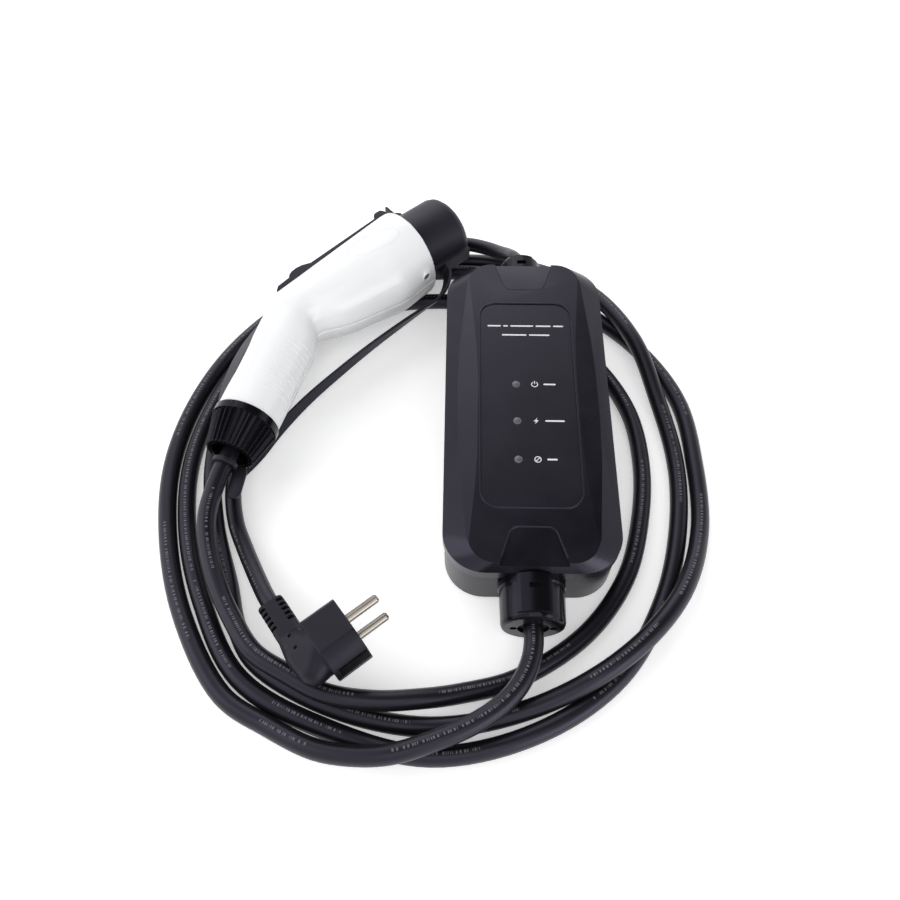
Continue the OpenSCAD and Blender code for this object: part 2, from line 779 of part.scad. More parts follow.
module cable_seal() color(rubber_black) place_handle() difference() {
    union() {
        translate([handle_l - 14, 0, 0]) rod_x(handle_d - 2 * shell_wall - 2 * slip, 14);
        translate([handle_l, 0, 0]) rod_x(boot_tip_d - 9, boot_l - 8);
    }
    translate([handle_l - 15, 0, 0]) rod_x(ev_d + slip, boot_l + 20);
}

// Dust cap pushed over the nose, with its flat rib below
cap_l = nose_l + 4;
cap_rib_w = 10;
cap_rib_h = 3;
module dust_cap() color(rubber_black) place_gun() translate([head_l, 0, 0]) difference() {
    union() {
        rotate([0, 90, 0]) rotate_extrude($fn = 72)
            polygon([
                [0, slip], [cap_od / 2, slip], [cap_od / 2, cap_l - 7],
                [cap_od / 2 - 1, cap_l - 3.6], [cap_od / 2 - 3.6, cap_l - 1], [cap_od / 2 - 7, cap_l], [0, cap_l]
            ]);
        translate([slip, -cap_od / 2 - cap_rib_h, -cap_rib_w / 2])
            cube([cap_l - 5, cap_od / 2, cap_rib_w]);
    }
    translate([-over, 0, 0]) rod_x(nose_d + 2 * slip, nose_l + over + slip, $fn = 64);
}

// Strap from the cap's rib to a ring on the cable below the boot nut
ring_x = handle_l + boot_l + 7;
ring_t = 3;
tab_l = 25;
tab_w = 12;
tab_turn = 9;
strap_x = head_l + strap_w / 2 + 5;
strap_spin = -132;
strap_points = [
    [22, 90, 36], [17, 82, 33], [6, 74, 30], [-10, 62, 26], [-30, 46, 21],
    [-50, 28, 16], [-70, 7, 12], [-86, -15, 9.5], [-97, -35, 9], [-104, -48, 11.5], [-107, -54, 14]
];
strap_route = concat(
    [
        on_gun([strap_x, -cap_od / 2 - cap_rib_h - 0.1, 0]),
        on_gun([strap_x, -cap_od / 2 - cap_rib_h - 4, 0])
    ],
    strap_points,
    [on_handle([ring_x, 0, -ev_d / 2 - 1.8])]
);
function strap_section(w, t) = [[-w / 2, -t / 2], [w / 2, -t / 2], [w / 2, t / 2], [-w / 2, t / 2]];

module cap_strap() color(rubber_black) {
    difference() {
        sweep(strap_route, strap_section(strap_w, strap_t), [0.55, 0.5, -0.67], strap_spin);
        place_handle() translate([ring_x - ring_t, 0, 0]) rod_x(ev_d + 2, 2 * ring_t);
    }
    place_handle() translate([ring_x - ring_t / 2, 0, 0]) difference() {
        union() {
            rod_x(ev_d + 5, ring_t);
            rotate([0, 0, tab_turn]) translate([tab_l / 2, ev_d / 2 + tab_w / 2 - 0.5, -ev_d / 2 + 0.5])
                slab(tab_l, tab_w, tab_w / 2 - 0.1, strap_t);
        }
        translate([-over, 0, 0]) rod_x(ev_d + 2 * slip, ring_t + 2 * over);
    }
}

// Angled mains plug, in its own frame: face middle at the origin,
// pins along +X, cord leaving along +Y

plug_r = plug_d / 2;
plug_flat = 30;
grip_back = plug_head_l + grip_t;
grip_mid_x = -plug_head_l - grip_t / 2 + 1;
boot_y = plug_r + 5;
plug_boot_l = 24;
plug_boot_w = 15;
plug_boot_h = 13;
clip_w = 6;
clip_t = 1;
clip_back = 3 - plug_head_l;
socket_y = -10;
socket_d = 4.8;

module plug_body() color(rubber_black) place_plug() difference() {
    union() {
        intersection() {
            translate([-plug_head_l, 0, 0]) rod_x(plug_d, plug_head_l, $fn = 64);
            translate([-plug_head_l - over, -plug_d, -plug_flat / 2])
                cube([plug_head_l + 2 * over, 2 * plug_d, plug_flat]);
        }
        hull() {
            translate([-plug_head_l - 1, 0, 0]) rod_x(plug_flat - 3, 3, $fn = 32);
            translate([grip_mid_x, -plug_r + 11, 0]) sphere(grip_t / 2 - 0.5, $fn = 32);
            translate([grip_mid_x, plug_r - 4, 0]) rotate([-90, 0, 0])
                cylinder(d = grip_t - 1, h = 2, $fn = 32);
            translate([grip_mid_x, 4, 0]) sphere(grip_t / 2 + 1, $fn = 32);
        }
        translate([grip_mid_x, plug_r - 3, 0]) rotate([-90, 0, 0])
            slab(plug_boot_w, plug_boot_h, 3, plug_boot_l + 3);
    }
    for (s = [-1, 1], i = [0 : 4])
        translate([grip_mid_x + s * plug_boot_w / 2, boot_y + 1.5 + i * 3.6, 0])
            cube([8, 1.6, plug_boot_h + 4], center = true);
    translate([grip_mid_x, plug_r, 0]) rod_y(lead_d + slip, plug_boot_l + 4);
    for (s = [-1, 1]) {
        translate([-1, 0, s * pin_pitch / 2]) rod_x(pin_d + slip, 4);
        translate([-8, 0, s * pin_pitch / 2]) rod_x(pin_d + slip, 9);
        translate([clip_back, s * plug_r - clip_t - slip, -clip_w / 2 - slip])
            cube([plug_head_l, 2 * (clip_t + slip), clip_w + 2 * slip]);
    }
    translate([-14, socket_y, 0]) rod_x(socket_d + 2 * slip + 1, 15);
}

// Mains pin with a rounded end
module plug_pin(s) place_plug() translate([-7.5, 0, s * pin_pitch / 2]) {
    rod_x(pin_d, pin_l + 7.5 - 1);
    translate([pin_l + 7.5 - 1, 0, 0]) rotate([0, 90, 0]) cylinder(d1 = pin_d, d2 = pin_d - 1.6, h = 1);
}
module plug_pin_line() color(nickel) plug_pin(1);
module plug_pin_neutral() color(nickel) plug_pin(-1);

// Sprung earth contacts along both edges of the head
module earth_clips() color(nickel) place_plug() for (s = [-1, 1])
    translate([clip_back, s * (plug_r - slip - clip_t / 2) - clip_t / 2, -clip_w / 2])
        cube([-clip_back - 1, clip_t, clip_w]);

module earth_sleeve() color(brass) place_plug() translate([-13.5, socket_y, 0]) difference() {
    rod_x(socket_d + 1, 13);
    translate([1, 0, 0]) rod_x(socket_d, 14);
}

// Cords

// Route of the vehicle cable from the box, three loose turns and up to the handle
vehicle_points = [
    [68, -177, 18.5], [62, -189, 17.5], [52, -200, 17], [37, -210, 17], [16, -219, 17],
    [-5, -225, 16.5], [-24, -225, 14], [-44, -221, 11], [-70, -208, 7], [-97, -191, 5.5],
    [-127, -144, 5.5], [-145, -92, 5.5], [-152, -40, 5.5], [-145, 12, 5.5], [-125, 61, 5.5],
    [-90, 105, 5.5], [-42, 137, 5.5], [15, 150, 5.5], [75, 144, 7], [125, 111, 13],
    [152, 59, 17], [164, 9, 9], [169, -40, 5.5], [163, -88, 5.5], [147, -136, 5.5],
    [117, -181, 5.5], [71, -211, 5.5], [15, -223, 5.5], [-40, -209, 5.5], [-89, -182, 5.5],
    [-117, -136, 5.5], [-134, -88, 5.5], [-140, -40, 5.5], [-133, 8, 5.5], [-115, 54, 5.5],
    [-83, 96, 5.5], [-39, 125, 5.5], [15, 138, 5.5], [71, 132, 5.5], [117, 101, 5.5],
    [155, 62, 5.5], [178, 13, 5.5], [181, -40, 5.5], [175, -92, 7], [153, -140, 16.5],
    [115, -177, 16.5], [67, -199, 7], [15, -208, 5.5], [-36, -198, 5.5], [-81, -173, 5.5],
    [-95, -151, 5.5], [-103, -126, 5.5], [-118, -83, 5.5], [-125, -40, 9], [-119, 4, 16.5],
    [-97, 42, 12], [-69, 75, 5.5], [-31, 99, 5.5], [15, 107, 5.5], [60, 100, 5.5],
    [99, 75, 5.5], [127, 42, 5.5], [144, 2, 5.5], [147, -40, 5.5], [141, -81, 5.5],
    [127, -122, 5.5], [100, -157, 5.5], [61, -182, 5.5], [30, -191, 8], [8, -195.5, 12.5],
    [-15, -197.5, 15.8], [-40, -194, 16.8], [-62, -183, 16.8], [-81, -171, 16.8], [-95, -152, 17.5],
    [-106, -132, 19], [-114, -110, 21.5], [-117, -90, 25.5]
];

// Route of the mains lead from the box, behind the head and under the handle to the plug
lead_points = [
    [72, 120, 44.5], [66.5, 133, 42.8], [57, 145, 38.5], [43, 154.5, 32], [25, 160.5, 25.5], [8, 160, 20],
    [-10, 152, 16.5], [-24, 141, 16.5], [-37, 127, 17], [-49, 111, 15], [-61, 97, 8],
    [-76, 84, 5], [-106, 48, 5], [-115, 24, 5], [-116, 3, 5], [-112, -40, 5],
    [-110, -64, 5], [-105, -84, 6], [-97, -102, 9]
];

vehicle_mouth = end_y + collar_l;
mains_mouth = end_y + mains_collar_l;
cord_inside = end_y - wall - lip_over - 6;
vehicle_route = concat(
    [
        on_box([0, -cord_inside, gland_z]),
        on_box([0, -vehicle_mouth, gland_z]),
        on_box([0, -vehicle_mouth - 8, gland_z])
    ],
    vehicle_points,
    [
        on_handle([handle_l + boot_l + 14, 0, 0]),
        on_handle([handle_l + boot_l, 0, 0]),
        on_handle([handle_l - 10, 0, 0])
    ]
);
lead_route = concat(
    [
        on_box([0, cord_inside, gland_z]),
        on_box([0, mains_mouth, gland_z]),
        on_box([0, mains_mouth + 8, gland_z])
    ],
    lead_points,
    [
        on_plug([grip_mid_x, plug_r + plug_boot_l + 8, 0]),
        on_plug([grip_mid_x, plug_r + plug_boot_l, 0]),
        on_plug([grip_mid_x, plug_r + 4, 0])
    ]
);
cord_sides = 10;

module vehicle_cable() color(rubber_black) sweep(vehicle_route, ring_section(ev_d, cord_sides));
module mains_lead() color(rubber_black) sweep(lead_route, ring_section(lead_d, cord_sides));

box_base();
box_cover();
cover_seal();
cover_screws();
panel_overlay();
power_lamp();
charging_lamp();
fault_lamp();
control_board();
board_screws();
line_relay();
neutral_relay();
leakage_coil();
power_supply();
mains_terminal();
vehicle_terminal();
vehicle_grommet();
vehicle_collar_upper();
vehicle_collar_lower();
mains_grommet();
mains_collar_upper();
mains_collar_lower();
grip_shell_upper();
grip_shell_lower();
shell_screws();
palm_pad();
connector_nose();
nose_screw();
contact_line();
contact_neutral();
contact_earth();
contact_pilot();
contact_proximity();
latch_lever();
latch_pin();
latch_spring();
latch_switch();
boot_nut();
cable_seal();
dust_cap();
cap_strap();
plug_body();
plug_pin_line();
plug_pin_neutral();
earth_clips();
earth_sleeve();
vehicle_cable();
mains_lead();
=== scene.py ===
import math

import bmesh
import bpy
from mathutils import Euler, Matrix, Vector
from mathutils.bvhtree import BVHTree


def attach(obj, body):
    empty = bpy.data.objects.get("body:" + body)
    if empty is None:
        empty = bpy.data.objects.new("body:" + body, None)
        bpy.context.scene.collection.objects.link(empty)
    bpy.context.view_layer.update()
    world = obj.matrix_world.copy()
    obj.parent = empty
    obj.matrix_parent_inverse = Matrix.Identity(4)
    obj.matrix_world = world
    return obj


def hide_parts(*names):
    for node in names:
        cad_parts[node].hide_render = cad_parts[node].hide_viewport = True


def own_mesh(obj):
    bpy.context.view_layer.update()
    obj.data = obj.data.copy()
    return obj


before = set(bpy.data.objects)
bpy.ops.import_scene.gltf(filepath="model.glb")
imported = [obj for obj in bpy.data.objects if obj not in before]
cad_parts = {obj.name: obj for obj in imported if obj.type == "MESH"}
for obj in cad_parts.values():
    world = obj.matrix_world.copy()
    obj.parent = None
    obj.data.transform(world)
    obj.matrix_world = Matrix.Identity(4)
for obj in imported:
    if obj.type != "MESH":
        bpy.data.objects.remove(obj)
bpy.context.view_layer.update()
scene = bpy.context.scene
scene.view_settings.view_transform = "Standard"
mm = 0.001
mainBody = "charger"
leverBody = "lever"


def placeMatrix(at, turn):
    turned = Euler([math.radians(a) for a in turn], "XYZ").to_matrix().to_4x4()
    return Matrix.Translation(Vector(at) * mm) @ turned


# places of the three assemblies, the same as in the part's source
places = {
    "boxAt": (72, -23, 9.326), "boxTurn": (5, 0, -0.8), "boxHalf": 110,
    "glandZ": 23, "glandInside": 9.5, "vehicleReach": 25, "vehicleStraight": 8,
    "mainsReach": 17, "mainsStraight": 2,
    "gunAt": (-77, 55, 39.2), "gunTurn": (5, -1.5, 41.5), "bendAngle": 32, "handleL": 85, "bootL": 26,
    "plugAt": (-26, -165, 33.8), "plugTurn": (-11, -8, 36), "plugGripX": -28.5, "plugR": 18.5, "plugBootL": 24,
}
boxPlace = placeMatrix(places["boxAt"], places["boxTurn"])
gunPlace = placeMatrix(places["gunAt"], places["gunTurn"])
handlePlace = gunPlace @ Matrix.Rotation(math.radians(180 + places["bendAngle"]), 4, "Z")
plugPlace = placeMatrix(places["plugAt"], places["plugTurn"])


def at(place, x, y, z):
    return place @ (Vector((x, y, z)) * mm)


# camera

view = {"place": (25, -351.9, 450), "tilt": 36, "lens": 34, "sensor": 36}
cameraData = bpy.data.cameras.new("camera")
cameraData.lens = view["lens"]
cameraData.sensor_width = view["sensor"]
cameraData.clip_start = 0.01
camera = bpy.data.objects.new("camera", cameraData)
camera.location = Vector(view["place"]) * mm
camera.rotation_euler = (math.radians(view["tilt"]), 0, 0)
scene.collection.objects.link(camera)
scene.camera = camera
print("camera set")


# materials

def hexColor(text):
    parts = [int(text[i:i + 2], 16) / 255 for i in (1, 3, 5)]
    linear = [c / 12.92 if c <= 0.04045 else ((c + 0.055) / 1.055) ** 2.4 for c in parts]
    return (*linear, 1)


def addNode(material, kind, settings=None, inputs=None):
    node = material.node_tree.nodes.new(kind)
    for key, value in (settings or {}).items():
        setattr(node, key, value)
    for key, value in (inputs or {}).items():
        if isinstance(value, bpy.types.NodeSocket):
            material.node_tree.links.new(value, node.inputs[key])
        else:
            node.inputs[key].default_value = value
    return node


def startMaterial(name):
    material = bpy.data.materials.new(name)
    material.use_nodes = True
    material.node_tree.nodes.clear()
    return material


# a finish: two close colours mixed in clouds, a grain in the surface, and roughness that wanders
# grain, depth and cloud are in mm; the grain is drawn coarser than a real mould's so that it shows
def moulded(name, dark, light, rough, grain, depth, cloud=30, metallic=0.0, ior=1.5, tint="#ffffff",
            roughSpread=0.06):
    material = startMaterial(name)
    place = addNode(material, "ShaderNodeTexCoord").outputs["Object"]
    clouds = addNode(material, "ShaderNodeTexNoise", {"noise_dimensions": "3D"},
                     {"Vector": place, "Scale": 1000 / cloud, "Detail": 3.0})
    colour = addNode(material, "ShaderNodeMix", {"data_type": "RGBA"},
                     {"Factor": clouds.outputs["Fac"], "A": hexColor(dark), "B": hexColor(light)})
    spread = addNode(material, "ShaderNodeMapRange", None,
                     {"Value": clouds.outputs["Fac"], "From Min": 0.3, "From Max": 0.7,
                      "To Min": rough - roughSpread, "To Max": rough + roughSpread})
    grit = addNode(material, "ShaderNodeTexNoise", None,
                   {"Vector": place, "Scale": 1000 / grain, "Detail": 2.0})
    bump = addNode(material, "ShaderNodeBump", None,
                   {"Height": grit.outputs["Fac"], "Distance": depth * mm, "Strength": 0.6})
    shader = addNode(material, "ShaderNodeBsdfPrincipled", None,
                     {"Base Color": colour.outputs["Result"], "Roughness": spread.outputs["Result"],
                      "Normal": bump.outputs["Normal"], "Metallic": metallic, "IOR": ior,
                      "Specular Tint": hexColor(tint)})
    addNode(material, "ShaderNodeOutputMaterial", None, {"Surface": shader.outputs["BSDF"]})
    return material


# the black plastics shine with a faint violet cast
sheen = "#d9d4f2"
# spark-eroded ABS: near black, a weak soft sheen broken by a fine grain
blackAbs = moulded("black moulded ABS", "#0d0c0f", "#121115", 0.3, 0.7, 0.04, ior=1.4, tint=sheen)
# the cover's ABS: glossier, with a clearer sheen, and painted a shade lighter than the base as painted light
# on the lit top of the box
paintedLitCoverAbs = moulded("black moulded ABS cover painted lighter as lit", "#0e0d11", "#131217", 0.26, 0.7, 0.03, tint=sheen)
# nylon of the boot nut and the gland collars, polished by its mould
glossyNylon = moulded("glossy black nylon", "#0a0a0c", "#0f0f11", 0.18, 1.0, 0.012, ior=1.37, tint=sheen)
# polycarbonate: white with a clear gloss
whitePolycarbonate = moulded("white moulded polycarbonate", "#f1f2f4", "#f6f7f8", 0.24, 1.2, 0.01,
                             roughSpread=0.04)
# thermoplastic elastomer: matt black that greys a little where it was handled
blackElastomer = moulded("black moulded elastomer", "#18181b", "#1f1f23", 0.46, 0.8, 0.06, tint=sheen)
# soft PVC of the plug: deep black with a dull shine
plugPvc = moulded("black moulded PVC", "#09090a", "#0f0f11", 0.44, 0.9, 0.05, ior=1.42, tint=sheen)
# printed polyester overlay, smoother than the housing round it
panelFilm = moulded("black polyester panel film", "#131216", "#17161a", 0.3, 1.0, 0.015, tint=sheen)
# nickel plate on brass, bright with faint drawing marks
nickelPlate = moulded("bright nickel plate", "#8e8881", "#a39d96", 0.26, 1.5, 0.01, metallic=1.0, cloud=8)
# spring steel of the plug's earth clips, its gloss dulled by handling, its colour darkened as painted shade
# for the plug's side in shadow
paintedShadeClipSteel = moulded("spring steel darkened as painted shade", "#2f2f31", "#3b3b3d", 0.4, 1.5, 0.004, metallic=1.0, cloud=8)
# brass of the earth sleeve, left plain
brassSleeve = moulded("plain brass", "#b08d3f", "#c8a758", 0.3, 1.0, 0.01, metallic=1.0, cloud=8)
# zinc plate on the screws, the pivot pin and the spring
zincSteel = moulded("zinc-plated steel", "#8d9094", "#a6a9ac", 0.34, 0.8, 0.01, metallic=1.0, cloud=6)
# unlit diffusing lens: milky dark grey
lampLens = moulded("milky lamp lens", "#4e4f53", "#5f6063", 0.22, 1.5, 0.005, cloud=4)
# inside the box: board lacquer, relay cases, winding tape and terminal nylon
boardGreen = moulded("green solder mask", "#174a31", "#20593d", 0.35, 2.0, 0.02)
relayBlue = moulded("blue relay case", "#1d3246", "#26405a", 0.4, 1.0, 0.02)
coilTape = moulded("yellow winding tape", "#b98f2c", "#d0a53c", 0.45, 1.0, 0.03)
terminalGreen = moulded("green terminal nylon", "#2f5a2f", "#3b6b3a", 0.45, 1.0, 0.03)
# screen-printed ink on the panel
printWhite = moulded("white screen print", "#d6d7d8", "#e3e4e5", 0.5, 0.6, 0.01)


# cable jacket: satin black elastomer, with a row of faint grey marks along one side
# marks and groups are counted per metre; side and half are parts of a turn, so the band is 1.5 mm high
jacketMarks = {
    "marks": 900.0, "groups": 14.0, "markFrom": 0.52, "groupFrom": 0.48, "side": 0.22, "half": 0.022,
    "strength": 0.4, "colour": "#8f9096", "clouds": 60.0, "grains": 900.0, "depth": 0.04,
}


def jacket(name, dark, light, rough):
    material = startMaterial(name)
    along = addNode(material, "ShaderNodeUVMap", {"uv_map": "along"}).outputs["UV"]
    place = addNode(material, "ShaderNodeTexCoord").outputs["Object"]
    clouds = addNode(material, "ShaderNodeTexNoise", None,
                     {"Vector": place, "Scale": jacketMarks["clouds"], "Detail": 4.0})
    base = addNode(material, "ShaderNodeMix", {"data_type": "RGBA"},
                   {"Factor": clouds.outputs["Fac"], "A": hexColor(dark), "B": hexColor(light)})
    split = addNode(material, "ShaderNodeSeparateXYZ", None, {"Vector": along})
    dash = addNode(material, "ShaderNodeTexNoise", {"noise_dimensions": "1D"},
                   {"W": split.outputs["X"], "Scale": jacketMarks["marks"], "Detail": 0.0})
    group = addNode(material, "ShaderNodeTexNoise", {"noise_dimensions": "1D"},
                    {"W": split.outputs["X"], "Scale": jacketMarks["groups"], "Detail": 0.0})
    dashOn = addNode(material, "ShaderNodeMath", {"operation": "GREATER_THAN"},
                     {0: dash.outputs["Fac"], 1: jacketMarks["markFrom"]})
    groupOn = addNode(material, "ShaderNodeMath", {"operation": "GREATER_THAN"},
                      {0: group.outputs["Fac"], 1: jacketMarks["groupFrom"]})
    offset = addNode(material, "ShaderNodeMath", {"operation": "SUBTRACT"},
                     {0: split.outputs["Y"], 1: jacketMarks["side"]})
    height = addNode(material, "ShaderNodeMath", {"operation": "ABSOLUTE"}, {0: offset.outputs[0]})
    bandOn = addNode(material, "ShaderNodeMath", {"operation": "LESS_THAN"},
                     {0: height.outputs[0], 1: jacketMarks["half"]})
    both = addNode(material, "ShaderNodeMath", {"operation": "MULTIPLY"},
                   {0: dashOn.outputs[0], 1: groupOn.outputs[0]})
    mark = addNode(material, "ShaderNodeMath", {"operation": "MULTIPLY"},
                   {0: both.outputs[0], 1: bandOn.outputs[0]})
    faint = addNode(material, "ShaderNodeMath", {"operation": "MULTIPLY"},
                    {0: mark.outputs[0], 1: jacketMarks["strength"]})
    colour = addNode(material, "ShaderNodeMix", {"data_type": "RGBA"},
                     {"Factor": faint.outputs[0], "A": base.outputs["Result"],
                      "B": hexColor(jacketMarks["colour"])})
    grit = addNode(material, "ShaderNodeTexNoise", None,
                   {"Vector": place, "Scale": jacketMarks["grains"], "Detail": 2.0})
    bump = addNode(material, "ShaderNodeBump", None,
                   {"Height": grit.outputs["Fac"], "Distance": jacketMarks["depth"] * mm, "Strength": 0.6})
    shader = addNode(material, "ShaderNodeBsdfPrincipled", None,
                     {"Base Color": colour.outputs["Result"], "Roughness": rough,
                      "Normal": bump.outputs["Normal"], "Specular Tint": hexColor(sheen)})
    addNode(material, "ShaderNodeOutputMaterial", None, {"Surface": shader.outputs["BSDF"]})
    return material


cableJacket = jacket("black cable jacket", "#0e0e10", "#141417", 0.36)
print("materials made")


def addObject(name, bm, material, body, nodes=()):
    mesh = bpy.data.meshes.new(name)
    bm.to_mesh(mesh)
    bm.free()
    mesh.materials.append(material)
    obj = bpy.data.objects.new(name, mesh)
    scene.collection.objects.link(obj)
    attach(obj, body)
    if nodes:
        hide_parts(*nodes)
    return obj


def smoothShade(obj, angle=30):
    for face in obj.data.polygons:
        face.use_smooth = True
    obj.data.set_sharp_from_angle(angle=math.radians(angle))


# cords

# a smooth line through the route's points, close enough together for a tube
def smoothLine(points, steps):
    ends = [points[0] * 2 - points[1], *points, points[-1] * 2 - points[-2]]
    line = []
    for a, b, c, d in zip(ends, ends[1:], ends[2:], ends[3:]):
        ta = (b - a).length ** 0.5
        tb = ta + (c - b).length ** 0.5
        tc = tb + (d - c).length ** 0.5
        for i in range(steps):
            t = ta + (tb - ta) * i / steps
            ab = a.lerp(b, t / ta)
            bc = b.lerp(c, (t - ta) / (tb - ta))
            cd = c.lerp(d, (t - tb) / (tc - tb))
            abc = ab.lerp(bc, t / tb)
            bcd = bc.lerp(cd, (t - ta) / (tc - ta))
            line.append(abc.lerp(bcd, (t - ta) / (tb - ta)))
    line.append(points[-1].copy())
    return line


# a closed line ends on the point it starts from
def headings(line, closed=False):
    last = len(line) - 1
    ahead = [(line[min(i + 1, last)] - line[max(i - 1, 0)]).normalized() for i in range(last + 1)]
    if closed:
        ahead[0] = ahead[-1] = (line[1] - line[-2]).normalized()
    return ahead


# rings of a section carried along a line, joined by bridges; the UV map runs in metres and turns
def sweep(line, section, up, twist=0, closed=False):
    bm = bmesh.new()
    uv = bm.loops.layers.uv.new("along")
    rings = []
    travelled = [0.0]
    for a, b in zip(line, line[1:]):
        travelled.append(travelled[-1] + (b - a).length)
    rise = Vector(up)
    for i, (point, ahead) in enumerate(zip(line, headings(line, closed))):
        rise = (rise - ahead * rise.dot(ahead)).normalized()
        across = ahead.cross(rise)
        turned = Matrix.Rotation(math.radians(twist) * i / (len(line) - 1), 2)
        corners = [turned @ Vector(corner) for corner in section]
        rings.append([bm.verts.new(point + across * c.x + rise * c.y) for c in corners])
    sides = len(section)
    for i in range(len(rings) - 1):
        for k in range(sides):
            n = (k + 1) % sides
            face = bm.faces.new((rings[i][k], rings[i][n], rings[i + 1][n], rings[i + 1][k]))
            turns = (k / sides, (k + 1) / sides)
            for loop, (row, turn) in zip(face.loops, ((i, 0), (i, 1), (i + 1, 1), (i + 1, 0))):
                loop[uv].uv = (travelled[row], turns[turn])
    if closed:
        bmesh.ops.remove_doubles(bm, verts=rings[0] + rings[-1], dist=0.02 * mm)
    else:
        bm.faces.new(list(reversed(rings[0])))
        bm.faces.new(rings[-1])
    return bm


def roundSection(radius, sides):
    turn = 2 * math.pi / sides
    return [(radius * math.cos(k * turn), radius * math.sin(k * turn)) for k in range(sides)]


def lineLength(line):
    return sum((b - a).length for a, b in zip(line, line[1:]))


vehicleCable = {
    "diameter": 11, "sides": 20, "steps": 9, "outside": 14, "inside": 10,
    "route": [
        (68, -177, 18.5), (62, -189, 17.5), (52, -200, 17), (37, -210, 17), (16, -219, 17),
        (-5, -225, 16.5), (-24, -225, 14), (-44, -221, 11), (-70, -208, 7), (-97, -191, 5.5),
        (-127, -144, 5.5), (-145, -92, 5.5), (-152, -40, 5.5), (-145, 12, 5.5), (-125, 61, 5.5),
        (-90, 105, 5.5), (-42, 137, 5.5), (15, 150, 5.5), (75, 144, 7), (125, 111, 13),
        (152, 59, 17), (164, 9, 9), (169, -40, 5.5), (163, -88, 5.5), (147, -136, 5.5),
        (117, -181, 5.5), (71, -211, 5.5), (15, -223, 5.5), (-40, -209, 5.5), (-89, -182, 5.5),
        (-117, -136, 5.5), (-134, -88, 5.5), (-140, -40, 5.5), (-133, 8, 5.5), (-115, 54, 5.5),
        (-83, 96, 5.5), (-39, 125, 5.5), (15, 138, 5.5), (71, 132, 5.5), (117, 101, 5.5),
        (155, 62, 5.5), (178, 13, 5.5), (181, -40, 5.5), (175, -92, 7), (153, -140, 16.5),
        (115, -177, 16.5), (67, -199, 7), (15, -208, 5.5), (-36, -198, 5.5), (-81, -173, 5.5),
        (-95, -151, 5.5), (-103, -126, 5.5), (-118, -83, 5.5), (-125, -40, 9), (-119, 4, 16.5),
        (-97, 42, 12), (-69, 75, 5.5), (-31, 99, 5.5), (15, 107, 5.5), (60, 100, 5.5),
        (99, 75, 5.5), (127, 42, 5.5), (144, 2, 5.5), (147, -40, 5.5), (141, -81, 5.5),
        (127, -122, 5.5), (100, -157, 5.5), (61, -182, 5.5), (30, -191, 8), (8, -195.5, 12.5),
        (-15, -197.5, 15.8), (-40, -194, 16.8), (-62, -183, 16.8), (-81, -171, 16.8), (-95, -152, 17.5),
        (-106, -132, 19), (-114, -110, 21.5), (-117, -90, 25.5),
    ],
}
mainsLead = {
    "diameter": 10, "sides": 20, "steps": 8, "outside": 8, "inside": 4,
    "route": [
        (70.8, 113, 41.3), (67.5, 122.5, 36), (62, 132, 30.2), (53.5, 142, 25.5), (41, 150.5, 22),
        (25, 155, 19.5), (8, 156, 18.2),
        (-10, 152, 16.5), (-24, 141, 16.5), (-37, 127, 17), (-49, 111, 15), (-61, 97, 8),
        (-76, 84, 5), (-106, 48, 5), (-115, 24, 5), (-116, 3, 5), (-112, -40, 5),
        (-110, -64, 5), (-105, -84, 6), (-97, -102, 9),
    ],
}


# first and last stretches run straight inside a gland, the handle or the plug
def cordLine(settings, start, end):
    radius = settings["diameter"] * mm / 2
    middle = [Vector(p) * mm for p in settings["route"]]
    line = smoothLine([*start, *middle, *end], settings["steps"])
    for point in line:
        point.z = max(point.z, radius)
    return line


def glandStart(side, reach, straight):
    inside = places["boxHalf"] - places["glandInside"]
    mouth = places["boxHalf"] + reach
    return [at(boxPlace, 0, side * y, places["glandZ"]) for y in (inside, mouth, mouth + straight)]


handleEnd = places["handleL"] + places["bootL"]
handleXs = (handleEnd + vehicleCable["outside"], handleEnd, places["handleL"] - vehicleCable["inside"])
vehicleLine = cordLine(vehicleCable, glandStart(-1, places["vehicleReach"], places["vehicleStraight"]),
                       [at(handlePlace, x, 0, 0) for x in handleXs])
plugEnd = places["plugR"] + places["plugBootL"]
plugYs = (plugEnd + mainsLead["outside"], plugEnd, places["plugR"] + mainsLead["inside"])
leadLine = cordLine(mainsLead, glandStart(1, places["mainsReach"], places["mainsStraight"]),
                    [at(plugPlace, places["plugGripX"], y, 0) for y in plugYs])


def makeCord(name, settings, line, node):
    radius = settings["diameter"] * mm / 2
    bm = sweep(line, roundSection(radius, settings["sides"]), (0.1, 0.2, 1))
    obj = addObject(name, bm, cableJacket, mainBody, [node])
    smoothShade(obj, 60)
    return obj


vehicleCord = makeCord("vehicleCable", vehicleCable, vehicleLine, "vehicle_cable")
leadCord = makeCord("mainsLead", mainsLead, leadLine, "mains_lead")
print("cords laid: vehicle cable", round(lineLength(vehicleLine), 3), "m")
print("cords laid: mains lead", round(lineLength(leadLine), 3), "m")


# pieces with hard moulded edges: the node's mesh, merged, with those edges rounded

